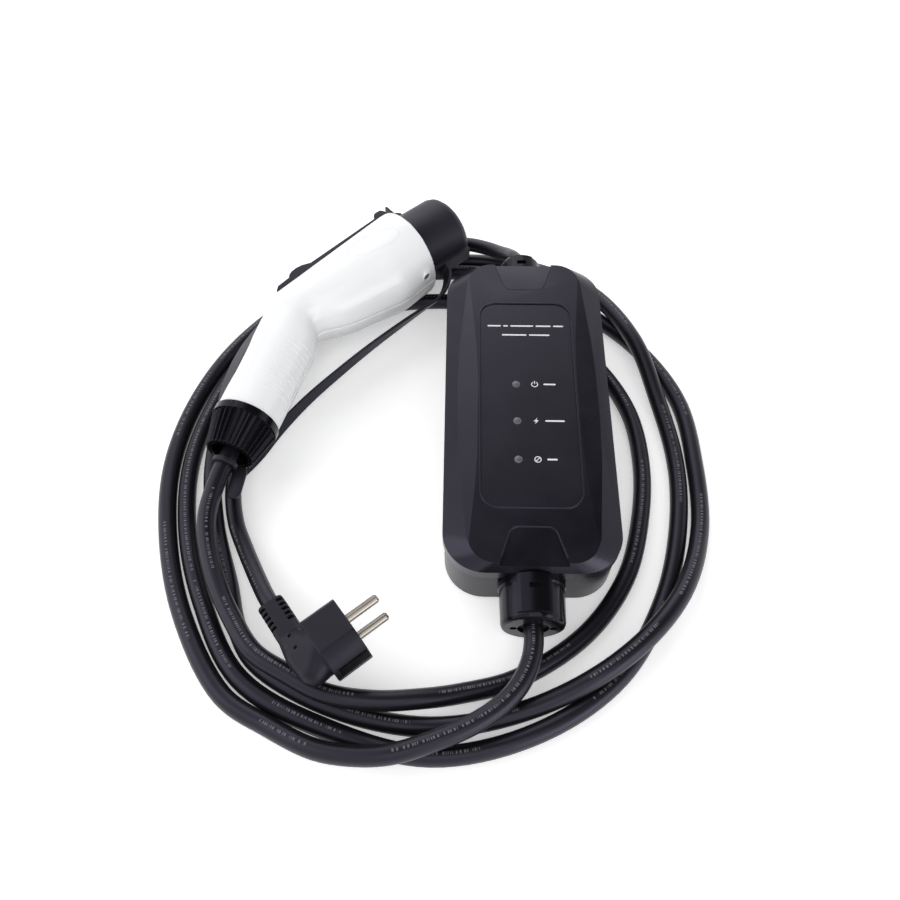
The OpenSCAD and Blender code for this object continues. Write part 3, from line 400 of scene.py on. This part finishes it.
# hard: angle in degrees from which an edge is rounded; round: width in mm
# voxel: grid in mm, where curves run together
collar = {"hard": 25, "round": 0.6, "segments": 3, "finish": glossyNylon, "slot": "housing_black"}
gripShell = {"voxel": 0.75, "rounds": 5, "finish": whitePolycarbonate, "slot": "handle_white"}
edges = {
    # the cover takes the ABS painted a shade lighter as painted light
    "box_cover": {"hard": 12, "round": 1.3, "segments": 4, "finish": paintedLitCoverAbs, "slot": "housing_black"},
    "box_base": {"hard": 20, "round": 0.8, "segments": 3, "finish": blackAbs, "slot": "housing_black"},
    "vehicle_collar_upper": collar,
    "vehicle_collar_lower": collar,
    "mains_collar_upper": collar,
    "mains_collar_lower": collar,
    "latch_lever": {"hard": 25, "round": 0.9, "segments": 3, "finish": blackAbs, "slot": "housing_black"},
    "grip_shell_upper": gripShell,
    "grip_shell_lower": gripShell,
    "palm_pad": {"hard": 35, "round": 0.6, "segments": 2, "finish": blackElastomer, "slot": "rubber_black"},
    "boot_nut": {"hard": 30, "round": 0.3, "segments": 2, "finish": glossyNylon, "slot": "rubber_black"},
    "dust_cap": {"hard": 35, "round": 0.9, "segments": 3, "finish": blackElastomer, "slot": "rubber_black"},
    "plug_body": {"voxel": 0.42, "rounds": 4, "finish": plugPvc, "slot": "rubber_black"},
}


def pieceName(node):
    first, *rest = node.split("_")
    return first + "".join(word.capitalize() for word in rest)


# an even grid over a shell, smoothed, so that its curves run on without facets
def evened(bm, voxel, rounds):
    coarse = bpy.data.meshes.new("coarse")
    bm.to_mesh(coarse)
    bm.free()
    holder = bpy.data.objects.new("coarse", coarse)
    scene.collection.objects.link(holder)
    grid = holder.modifiers.new("even grid", "REMESH")
    grid.mode = "VOXEL"
    grid.voxel_size = voxel * mm
    finished = holder.evaluated_get(bpy.context.evaluated_depsgraph_get())
    fine = bmesh.new()
    fine.from_mesh(finished.to_mesh())
    finished.to_mesh_clear()
    bpy.data.objects.remove(holder)
    bpy.data.meshes.remove(coarse)
    for _ in range(rounds):
        bmesh.ops.smooth_vert(fine, verts=fine.verts, factor=0.5, use_axis_x=True, use_axis_y=True,
                              use_axis_z=True)
    return fine


# the inner corner between head and handle is drawn in a little, and the head's belly stays full
bend = {"draw": 5, "reach": 11, "from": 4, "full": 20}
halfBend = math.radians(places["bendAngle"] / 2)
bendIn = Vector((math.sin(halfBend), -math.cos(halfBend), 0))
bendAlong = Vector((math.cos(halfBend), math.sin(halfBend), 0))


def drawBend(bm):
    toGun = gunPlace.inverted()
    for vert in bm.verts:
        local = toGun @ vert.co / mm
        depth = min(max((local.dot(bendIn) - bend["from"]) / (bend["full"] - bend["from"]), 0), 1)
        if depth:
            drawn = bend["draw"] * depth * math.exp(-(local.dot(bendAlong) / bend["reach"]) ** 2)
            vert.co -= gunPlace.to_3x3() @ bendIn * drawn * mm


# two small ejector marks on top of the plug's grip
dimples = {"places": ((-28.7, 13.6), (-29.3, 4.6)), "radius": 1.1, "depth": 1.3}


def sinkDimples(bm):
    toPlug = plugPlace.inverted()
    down = plugPlace.to_3x3() @ Vector((0, 0, -1))
    for vert in bm.verts:
        local = toPlug @ vert.co / mm
        for x, y in dimples["places"]:
            share = 1 - ((local.x - x) ** 2 + (local.y - y) ** 2) / dimples["radius"] ** 2
            if share > 0 and local.z > 0:
                vert.co += down * dimples["depth"] * min(2 * share, 1) * mm


def softened(node, settings):
    bm = bmesh.new()
    bm.from_mesh(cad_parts[node].data)
    bmesh.ops.remove_doubles(bm, verts=bm.verts, dist=0.005 * mm)
    if "voxel" in settings:
        bm = evened(bm, settings["voxel"], settings["rounds"])
        if node == "plug_body":
            sinkDimples(bm)
        else:
            drawBend(bm)
        obj = addObject(pieceName(node), bm, settings["finish"], mainBody, [node])
        smoothShade(obj, 60)
        return obj
    bmesh.ops.dissolve_limit(bm, angle_limit=math.radians(0.5), verts=bm.verts, edges=bm.edges)
    hardFrom = math.radians(settings["hard"])
    hard = [e for e in bm.edges if e.is_manifold and e.calc_face_angle() > hardFrom]
    bmesh.ops.bevel(bm, geom=hard, offset=settings["round"] * mm, segments=settings["segments"],
                    profile=0.5, affect="EDGES", material=-1, clamp_overlap=True)
    body = leverBody if node == "latch_lever" else mainBody
    obj = addObject(pieceName(node), bm, settings["finish"], body, [node])
    smoothShade(obj, 40)
    weights = obj.modifiers.new("faces lead the shading", "WEIGHTED_NORMAL")
    weights.keep_sharp = True
    return obj


soft = {node: softened(node, settings) for node, settings in edges.items()}
print("edges rounded on", len(soft), "pieces")


# spring under the latch lever, which on the real charger shortens as the lever is pressed; here it stays at
# one length, on a mesh of its own

springBm = bmesh.new()
springBm.from_mesh(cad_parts["latch_spring"].data)
bmesh.ops.remove_doubles(springBm, verts=springBm.verts, dist=0.002 * mm)
latchSpring = addObject("latchSpring", springBm, zincSteel, mainBody, ["latch_spring"])
smoothShade(latchSpring, 60)
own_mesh(latchSpring)
print("spring set")


# strap of the dust cap: edge-on at the cap, flat where it meets the ring on the cable

strap = {
    "width": 8, "thick": 2, "cut": 0.5, "up": (0.55, 0.5, -0.67), "twist": -132, "steps": 10,
    "start": [(105, -28.2, 0), (105, -32.1, 0)],
    "route": [
        (22, 90, 36), (17, 82, 33), (6, 74, 30), (-10, 62, 26), (-30, 46, 21), (-50, 28, 16), (-70, 7, 12),
        (-86, -15, 9.5), (-97, -35, 9), (-104, -48, 11.5), (-107, -54, 14),
    ],
    "ringX": 118, "ringUnder": -7.3, "ringTurns": 40,
    "ringSide": ((-1.5, 5.7), (-1.5, 7.6), (-1.1, 8), (1.1, 8), (1.5, 7.6), (1.5, 5.7)),
    "tabL": 22, "tabW": 8.5, "tabBack": 1.5, "tabY": 9, "tabZ": -4, "tabTurn": 9, "tabRound": 4.1,
    "tabRim": 0.5,
}
strapLine = smoothLine(
    [at(gunPlace, *p) for p in strap["start"]] + [Vector(p) * mm for p in strap["route"]]
    + [at(handlePlace, strap["ringX"], 0, strap["ringUnder"])], strap["steps"])
halfW, halfT, cut = strap["width"] / 2 * mm, strap["thick"] / 2 * mm, strap["cut"] * mm
strapSection = [
    (cut - halfW, -halfT), (halfW - cut, -halfT), (halfW, cut - halfT), (halfW, halfT - cut),
    (halfW - cut, halfT), (cut - halfW, halfT), (-halfW, halfT - cut), (-halfW, cut - halfT),
]
strapBm = sweep(strapLine, strapSection, strap["up"], strap["twist"])
ringBm = bmesh.new()
ringVerts = [ringBm.verts.new((x * mm, r * mm, 0)) for x, r in strap["ringSide"]]
ringFace = ringBm.faces.new(ringVerts)
bmesh.ops.spin(ringBm, geom=[ringFace], cent=(0, 0, 0), axis=(1, 0, 0), angle=2 * math.pi,
               steps=strap["ringTurns"], use_merge=True)
bmesh.ops.delete(ringBm, geom=[f for f in ringBm.faces if len(f.verts) > 4], context="FACES_ONLY")
bmesh.ops.remove_doubles(ringBm, verts=ringBm.verts, dist=0.01 * mm)
bmesh.ops.recalc_face_normals(ringBm, faces=ringBm.faces)
ringShift = Matrix.Translation((strap["ringX"] * mm, 0, 0))
bmesh.ops.transform(ringBm, matrix=handlePlace @ ringShift, verts=ringBm.verts)
tabBm = bmesh.new()
bmesh.ops.create_cube(tabBm, size=1)
tabSize = (strap["tabL"] * mm, strap["tabW"] * mm, strap["thick"] * mm)
bmesh.ops.scale(tabBm, vec=tabSize, verts=tabBm.verts)
upright = [e for e in tabBm.edges if abs((e.verts[0].co - e.verts[1].co).z) > 0.001]
bmesh.ops.bevel(tabBm, geom=upright, offset=strap["tabRound"] * mm, segments=8, profile=0.5,
                affect="EDGES", material=-1)
rims = [e for e in tabBm.edges if e.calc_face_angle() > 1]
bmesh.ops.bevel(tabBm, geom=rims, offset=strap["tabRim"] * mm, segments=2, profile=0.5,
                affect="EDGES", material=-1)
tabShift = (Matrix.Translation(((strap["ringX"] - strap["tabBack"]) * mm, 0, 0))
            @ Matrix.Rotation(math.radians(strap["tabTurn"]), 4, "Z")
            @ Matrix.Translation(Vector((strap["tabL"] / 2, strap["tabY"], strap["tabZ"])) * mm))
bmesh.ops.transform(tabBm, matrix=handlePlace @ tabShift, verts=tabBm.verts)
for extra in (ringBm, tabBm):
    extraMesh = bpy.data.meshes.new("extra")
    extra.to_mesh(extraMesh)
    extra.free()
    strapBm.from_mesh(extraMesh)
    bpy.data.meshes.remove(extraMesh)
capStrap = addObject("capStrap", strapBm, blackElastomer, mainBody, ["cap_strap"])
smoothShade(capStrap, 40)
print("strap made")


# raised lines on the white shell: an oval on the head, a ring round the nose screw,
# and grip ridges on the inner side of the handle

shellLines = {
    "ovalMiddle": (66.5, 1), "ovalHalf": (19, 7.8), "ovalTurn": -12, "ovalSteps": 72, "ovalAbove": 60,
    "ridgeFirst": 28, "ridgePitch": 4, "ridgeCount": 11, "ridgeFrom": 18, "ridgeTo": 82, "ridgeSteps": 12,
    "ridgeOutside": 50, "bead": 0.45, "proud": 0.3, "beadSides": 8,
    "ringMiddle": (87, -31, 8), "ringRadius": 3.1, "ringBead": 0.9, "ringSteps": 32, "ringSides": 10,
}
shellBm = bmesh.new()
shellBm.from_mesh(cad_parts["grip_shell_upper"].data)
shellTree = BVHTree.FromBMesh(shellBm)
shellBm.free()


# the middle of a bead on the shell, met from a point outside it
def ontoShell(start, inward):
    hit, normal, _, _ = shellTree.ray_cast(start, inward)
    return hit - normal * (shellLines["bead"] - shellLines["proud"]) * mm


gunDown = gunPlace.to_3x3() @ Vector((0, 0, -1))
ovalLine = []
ovalX, ovalY = shellLines["ovalMiddle"]
ovalHalfX, ovalHalfY = shellLines["ovalHalf"]
ovalTurn = Matrix.Rotation(math.radians(shellLines["ovalTurn"]), 2)
for i in range(shellLines["ovalSteps"] + 1):
    angle = 2 * math.pi * i / shellLines["ovalSteps"]
    flat = ovalTurn @ Vector((ovalHalfX * math.cos(angle), ovalHalfY * math.sin(angle)))
    start = at(gunPlace, ovalX + flat.x, ovalY + flat.y, shellLines["ovalAbove"])
    ovalLine.append(ontoShell(start, gunDown))
beadSection = roundSection(shellLines["bead"] * mm, shellLines["beadSides"])
ovalBm = sweep(ovalLine, beadSection, gunPlace.to_3x3() @ Vector((0, 0, 1)), 0, True)
headOval = addObject("headOval", ovalBm, whitePolycarbonate, mainBody)
smoothShade(headOval, 60)
ringLine = []
ringMiddle = Vector(shellLines["ringMiddle"])
for i in range(shellLines["ringSteps"] + 1):
    angle = 2 * math.pi * i / shellLines["ringSteps"]
    flat = Vector((math.cos(angle), 0, math.sin(angle))) * shellLines["ringRadius"]
    ringLine.append(at(gunPlace, *(ringMiddle + flat)))
ringSection = roundSection(shellLines["ringBead"] * mm, shellLines["ringSides"])
screwRingBm = sweep(ringLine, ringSection, gunPlace.to_3x3() @ Vector((0, 1, 0)), 0, True)
screwRing = addObject("screwRing", screwRingBm, whitePolycarbonate, mainBody)
smoothShade(screwRing, 60)
ridgeBm = bmesh.new()
ridgeSteps = shellLines["ridgeSteps"]
ridgeSpan = shellLines["ridgeTo"] - shellLines["ridgeFrom"]
for i in range(shellLines["ridgeCount"]):
    x = shellLines["ridgeFirst"] + i * shellLines["ridgePitch"]
    line = []
    for k in range(ridgeSteps + 1):
        angle = math.radians(shellLines["ridgeFrom"] + ridgeSpan * k / ridgeSteps)
        outward = handlePlace.to_3x3() @ Vector((0, math.sin(angle), math.cos(angle)))
        line.append(ontoShell(at(handlePlace, x, 0, 0) + outward * shellLines["ridgeOutside"] * mm, -outward))
    ridge = sweep(line, beadSection, (0, 0, 1))
    ridgeMesh = bpy.data.meshes.new("ridge")
    ridge.to_mesh(ridgeMesh)
    ridge.free()
    ridgeBm.from_mesh(ridgeMesh)
    bpy.data.meshes.remove(ridgeMesh)
gripRidges = addObject("gripRidges", ridgeBm, whitePolycarbonate, mainBody)
smoothShade(gripRidges, 60)
print("shell lines laid")


# rounded rims on the cover: round the panel, and over each end's ramp

coverRims = {
    "panelHalf": (29, 74), "panelR": 10.5, "rampTop": (12, 85.5), "rampFoot": (18, 104), "rampR": 4,
    "bead": 0.6, "proud": 0.28, "sides": 10, "cornerSteps": 8, "pull": 0.552, "spacing": 2, "above": 80,
}
coverBm = bmesh.new()
coverBm.from_mesh(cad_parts["box_cover"].data)
coverTree = BVHTree.FromBMesh(coverBm)
coverBm.free()
boxDown = boxPlace.to_3x3() @ Vector((0, 0, -1))


def ontoCover(x, y):
    hit, normal, _, _ = coverTree.ray_cast(at(boxPlace, x, y, coverRims["above"]), boxDown)
    return hit - normal * (coverRims["bead"] - coverRims["proud"]) * mm


# a corner between two sides, rounded
def roundCorner(before, corner, after, reach, steps):
    start = corner + (before - corner).normalized() * reach
    end = corner + (after - corner).normalized() * reach
    pullStart, pullEnd = start.lerp(corner, coverRims["pull"]), end.lerp(corner, coverRims["pull"])
    arc = []
    for t in [k / steps for k in range(steps + 1)]:
        middle = pullStart.lerp(pullEnd, t)
        arc.append(start.lerp(pullStart, t).lerp(middle, t).lerp(middle.lerp(pullEnd.lerp(end, t), t), t))
    return arc


def rimPath(corners, reach, closed):
    path = []
    count = len(corners)
    for i, corner in enumerate(corners):
        if not closed and i in (0, count - 1):
            path.append(corner)
        else:
            path += roundCorner(corners[i - 1], corner, corners[(i + 1) % count], reach,
                                coverRims["cornerSteps"])
    if closed:
        path.append(path[0])
    fine = [path[0]]
    for a, b in zip(path, path[1:]):
        pieces = max(1, round((b - a).length / coverRims["spacing"]))
        fine += [a.lerp(b, (k + 1) / pieces) for k in range(pieces)]
    return [ontoCover(point.x, point.y) for point in fine]


rimSection = roundSection(coverRims["bead"] * mm, coverRims["sides"])
rimUp = boxPlace.to_3x3() @ Vector((0, 0, 1))
halfX, halfY = coverRims["panelHalf"]
panelCorners = [Vector((halfX * a, halfY * b)) for a, b in ((-1, -1), (1, -1), (1, 1), (-1, 1))]
panelRimBm = sweep(rimPath(panelCorners, coverRims["panelR"], True), rimSection, rimUp, 0, True)
panelRim = addObject("panelRim", panelRimBm, paintedLitCoverAbs, mainBody)
smoothShade(panelRim, 60)
for name, side in (("nearRampRim", -1), ("farRampRim", 1)):
    (topX, topY), (footX, footY) = coverRims["rampTop"], coverRims["rampFoot"]
    rampCorners = [Vector((x, y * side))
                   for x, y in ((-footX, footY), (-topX, topY), (topX, topY), (footX, footY))]
    rampBm = sweep(rimPath(rampCorners, coverRims["rampR"], False), rimSection, rimUp)
    rampRim = addObject(name, rampBm, paintedLitCoverAbs, mainBody)
    smoothShade(rampRim, 60)
print("cover rims laid")


# white print on the panel: plain bars and three simple signs

panelPrint = {
    "top": 46.4, "sunk": 0.02, "proud": 0.04, "barH": 1.1,
    "bars": [
        (-24, -15.5, 55.5), (-14, -11, 55.5), (-9.5, 5, 55.5), (6.5, 16, 55.5), (17.5, 24, 55.5),
        (-15, 0.5, 48.3), (2, 15, 48.3),
        (9.5, 17, 10.4), (9.5, 21, -16), (9.5, 15.5, -42.4),
    ],
    "signX": 4.2, "signR": 2.1, "signLine": 0.55, "lampYs": (10.4, -16, -42.4), "powerArc": (125, 415),
    "stem": [(-0.3, 0.3), (0.3, 0.3), (0.3, 2.4), (-0.3, 2.4)],
    "bolt": [(0.9, 2.4), (-1.5, -0.4), (-0.1, -0.4), (-0.9, -2.4), (1.5, 0.4), (0.1, 0.4)],
    "slash": [(-1.5, -1.1), (-1.1, -1.5), (1.5, 1.1), (1.1, 1.5)],
}
printBm = bmesh.new()


def addPrint(corners):
    low = panelPrint["top"] - panelPrint["sunk"]
    face = printBm.faces.new([printBm.verts.new(at(boxPlace, x, y, low)) for x, y in corners])
    raised = bmesh.ops.extrude_face_region(printBm, geom=[face])
    lift = boxPlace.to_3x3() @ Vector((0, 0, (panelPrint["sunk"] + panelPrint["proud"]) * mm))
    raisedVerts = [v for v in raised["geom"] if isinstance(v, bmesh.types.BMVert)]
    bmesh.ops.translate(printBm, vec=lift, verts=raisedVerts)


def arcPoints(x, y, radius, first, last, steps):
    turns = [math.radians(first + (last - first) * i / steps) for i in range(steps + 1)]
    return [(x + radius * math.cos(t), y + radius * math.sin(t)) for t in turns]


for left, right, y in panelPrint["bars"]:
    half = panelPrint["barH"] / 2
    addPrint(arcPoints(right - half, y, half, -90, 90, 6) + arcPoints(left + half, y, half, 90, 270, 6))
signX, signR = panelPrint["signX"], panelPrint["signR"]
innerR = signR - panelPrint["signLine"]
powerY, chargeY, faultY = panelPrint["lampYs"]


def addArc(y, first, last, steps):
    addPrint(arcPoints(signX, y, signR, first, last, steps) + arcPoints(signX, y, innerR, last, first, steps))


def addShape(shape, y):
    addPrint([(signX + across, y + up) for across, up in panelPrint[shape]])


addArc(powerY, *panelPrint["powerArc"], 24)
addShape("stem", powerY)
addShape("bolt", chargeY)
addArc(faultY, 0, 180, 16)
addArc(faultY, 180, 360, 16)
addShape("slash", faultY)
bmesh.ops.recalc_face_normals(printBm, faces=printBm.faces)
addObject("panelPrint", printBm, printWhite, mainBody)
print("panel printed")


# CAD nodes that keep their shape take a finish
finishes = {
    blackAbs: ("latch_switch",),
    panelFilm: ("panel_overlay",),
    blackElastomer: ("cover_seal", "vehicle_grommet", "mains_grommet", "connector_nose", "cable_seal"),
    nickelPlate: ("contact_line", "contact_neutral", "contact_earth", "contact_pilot", "contact_proximity",
                  "plug_pin_line", "plug_pin_neutral"),
    # the earth clips take steel darkened as painted shade
    paintedShadeClipSteel: ("earth_clips",),
    brassSleeve: ("earth_sleeve",),
    zincSteel: ("cover_screws", "board_screws", "shell_screws", "nose_screw", "latch_pin"),
    lampLens: ("power_lamp", "charging_lamp", "fault_lamp"),
    boardGreen: ("control_board",),
    relayBlue: ("line_relay", "neutral_relay"),
    coilTape: ("leakage_coil", "power_supply"),
    terminalGreen: ("mains_terminal", "vehicle_terminal"),
}
for material, names in finishes.items():
    for name in names:
        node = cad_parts[name]
        node.data.materials.clear()
        node.data.materials.append(material)
print("finishes set on", sum(len(names) for names in finishes.values()), "nodes")


# stage and light

# the floor lies half a millimetre under the part
stage = {"floor": "#f4f4f5", "size": 6, "floorLift": 0.4, "floorDrop": 0.5}
floorPaint = startMaterial("pale floor paint")
# what the camera and reflections see of the floor is lifted a little towards white
floorSeen = addNode(floorPaint, "ShaderNodeLightPath")
floorMirrored = addNode(floorPaint, "ShaderNodeMath", {"operation": "MAXIMUM"},
                        {0: floorSeen.outputs["Is Glossy Ray"], 1: floorSeen.outputs["Is Transmission Ray"]})
floorShown = addNode(floorPaint, "ShaderNodeMath", {"operation": "MAXIMUM"},
                     {0: floorSeen.outputs["Is Camera Ray"], 1: floorMirrored.outputs[0]})
floorLift = addNode(floorPaint, "ShaderNodeMath", {"operation": "MULTIPLY"},
                    {0: floorShown.outputs[0], 1: stage["floorLift"]})
floorShader = addNode(floorPaint, "ShaderNodeBsdfPrincipled", None,
                      {"Base Color": hexColor(stage["floor"]), "Roughness": 0.8, "Specular IOR Level": 0.2,
                       "Emission Color": (1, 1, 1, 1), "Emission Strength": floorLift.outputs[0]})
addNode(floorPaint, "ShaderNodeOutputMaterial", None, {"Surface": floorShader.outputs["BSDF"]})
floorBm = bmesh.new()
bmesh.ops.create_grid(floorBm, x_segments=1, y_segments=1, size=stage["size"])
floorMesh = bpy.data.meshes.new("floor")
floorBm.to_mesh(floorMesh)
floorBm.free()
floorMesh.materials.append(floorPaint)
floor = bpy.data.objects.new("floor", floorMesh)
floor.location.z = -stage["floorDrop"] * mm
scene.collection.objects.link(floor)

# the room: white all round, dark overhead to the right, so that black plastic reads black near the camera
room = {
    "darkWay": (0.55, -0.2, 0.81), "darkFrom": 0.57, "darkFull": 0.77, "bright": 1.0, "dim": 0.04,
    "wallTop": 0.4, "ceiling": 0.62,
}
world = bpy.data.worlds.new("studio")
world.use_nodes = True
roomWay = addNode(world, "ShaderNodeTexCoord").outputs["Generated"]
roomSide = addNode(world, "ShaderNodeVectorMath", {"operation": "DOT_PRODUCT"},
                   {0: roomWay, 1: room["darkWay"]})
roomLevel = addNode(world, "ShaderNodeMapRange", None,
                    {"Value": roomSide.outputs["Value"], "From Min": room["darkFrom"],
                     "From Max": room["darkFull"], "To Min": room["bright"], "To Max": room["dim"]})
# the walls stay white up to the ceiling
roomHeight = addNode(world, "ShaderNodeSeparateXYZ", None, {"Vector": roomWay})
roomWall = addNode(world, "ShaderNodeMapRange", None,
                   {"Value": roomHeight.outputs["Z"], "From Min": room["wallTop"], "From Max": room["ceiling"],
                    "To Min": room["bright"], "To Max": 0.0})
roomLight = addNode(world, "ShaderNodeMath", {"operation": "MAXIMUM"},
                    {0: roomLevel.outputs["Result"], 1: roomWall.outputs["Result"]})
background = world.node_tree.nodes["Background"]
background.inputs["Color"].default_value = (1, 1, 1, 1)
world.node_tree.links.new(roomLight.outputs[0], background.inputs["Strength"])
scene.world = world

# soft boxes: behind, to shine in the far end of the box; left; over the camera; low at the right
lamps = [
    {"name": "behind", "place": (-0.3, 1.5, 1.1), "size": 1.3, "power": 6},
    {"name": "left", "place": (-1.4, -0.1, 1.0), "size": 1.2, "power": 5.5},
    {"name": "overCamera", "place": (0.2, -1.0, 1.5), "size": 1.2, "power": 7},
    {"name": "lowRight", "place": (0.95, -1.0, 0.45), "size": 0.9, "power": 6},
]
for lamp in lamps:
    light = bpy.data.lights.new(lamp["name"], "AREA")
    light.energy = lamp["power"]
    light.size = lamp["size"]
    holder = bpy.data.objects.new(lamp["name"], light)
    holder.location = lamp["place"]
    holder.rotation_euler = (-Vector(lamp["place"])).to_track_quat("-Z", "Y").to_euler()
    scene.collection.objects.link(holder)
print("stage lit")
